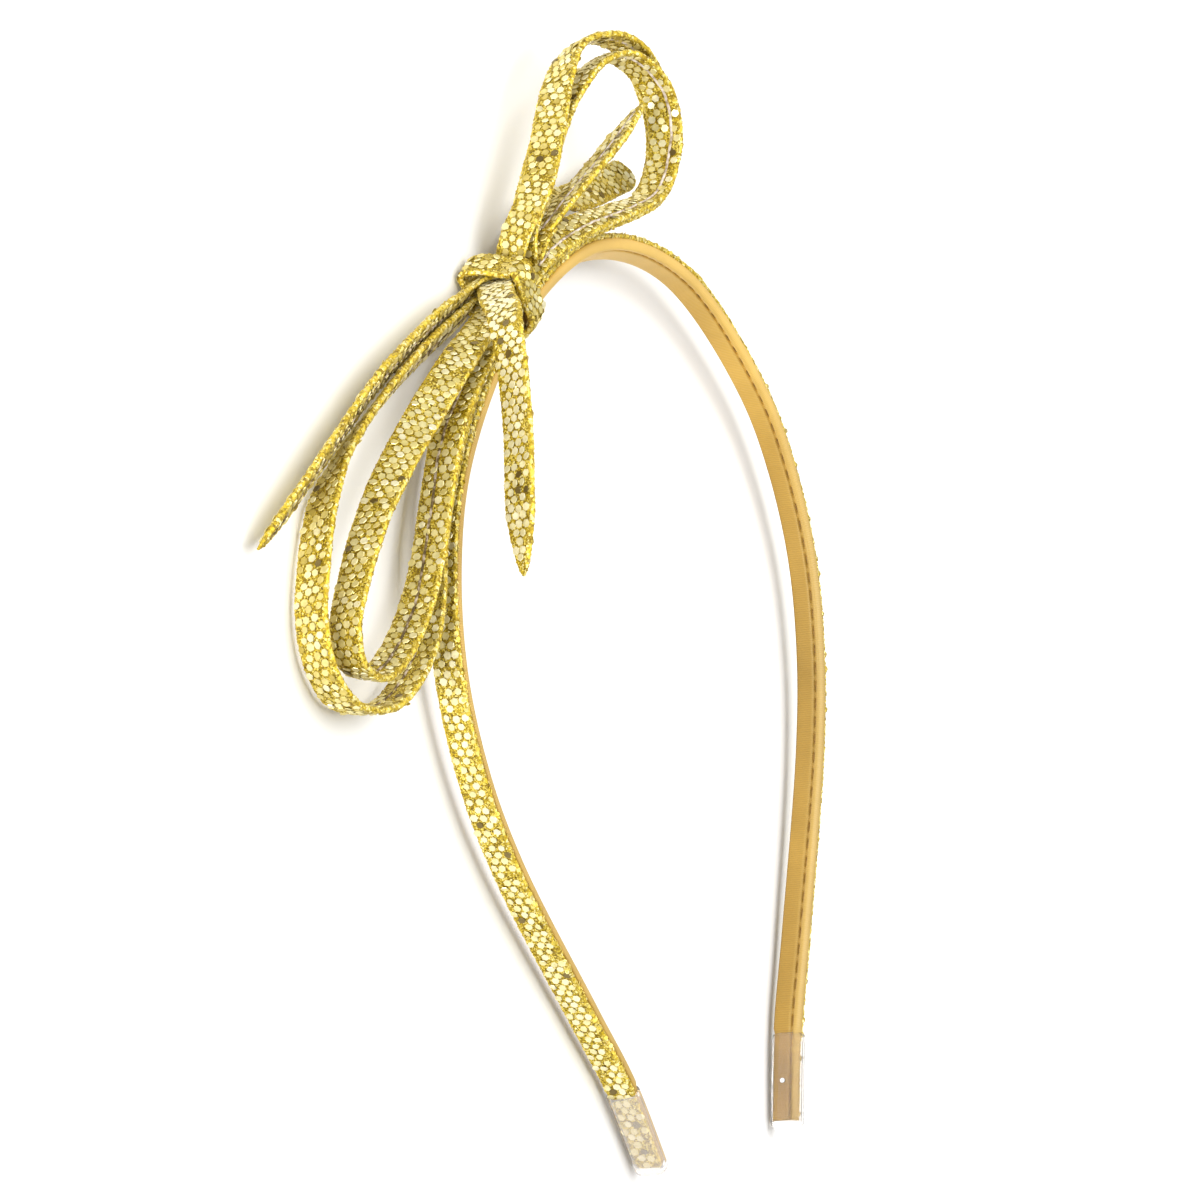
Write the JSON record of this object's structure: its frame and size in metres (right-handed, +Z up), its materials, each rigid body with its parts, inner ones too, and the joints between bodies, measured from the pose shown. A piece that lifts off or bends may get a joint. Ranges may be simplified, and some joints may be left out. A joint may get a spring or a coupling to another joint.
{
  "type": "bow headband",
  "caption": "Thin satin-lined headband with a gold glitter strip outside, clear caps on its tips and a bow of flat glitter strips tied on one shoulder.",
  "frame": {"origin": "middle of the bounding box's bottom, on the surface the headband lies on", "axes": "+Z up from the surface, +Y towards the hoop's apex, +X from the bow's tails towards the plain arm"},
  "size_m": [0.1768, 0.1666, 0.0185],
  "materials": {
    "satin": "golden ribbed satin",
    "glitter_cloth": "gold cloth covered with six-sided glitter flakes",
    "clear_plastic": "clear soft plastic"
  },
  "bodies": {
    "root": {"band_satin": "satin", "band_glitter": "glitter_cloth", "tip_cap_left": "clear_plastic", "tip_cap_right": "clear_plastic", "upper_loop_back": "glitter_cloth", "upper_loop_front": "glitter_cloth", "lower_loop_back": "glitter_cloth", "lower_loop_front": "glitter_cloth", "upper_tail_straight": "glitter_cloth", "upper_tail_round": "glitter_cloth", "lower_tail_left": "glitter_cloth", "lower_tail_front": "glitter_cloth", "knot_wrap": "glitter_cloth"}
  },
  "joints": []
}
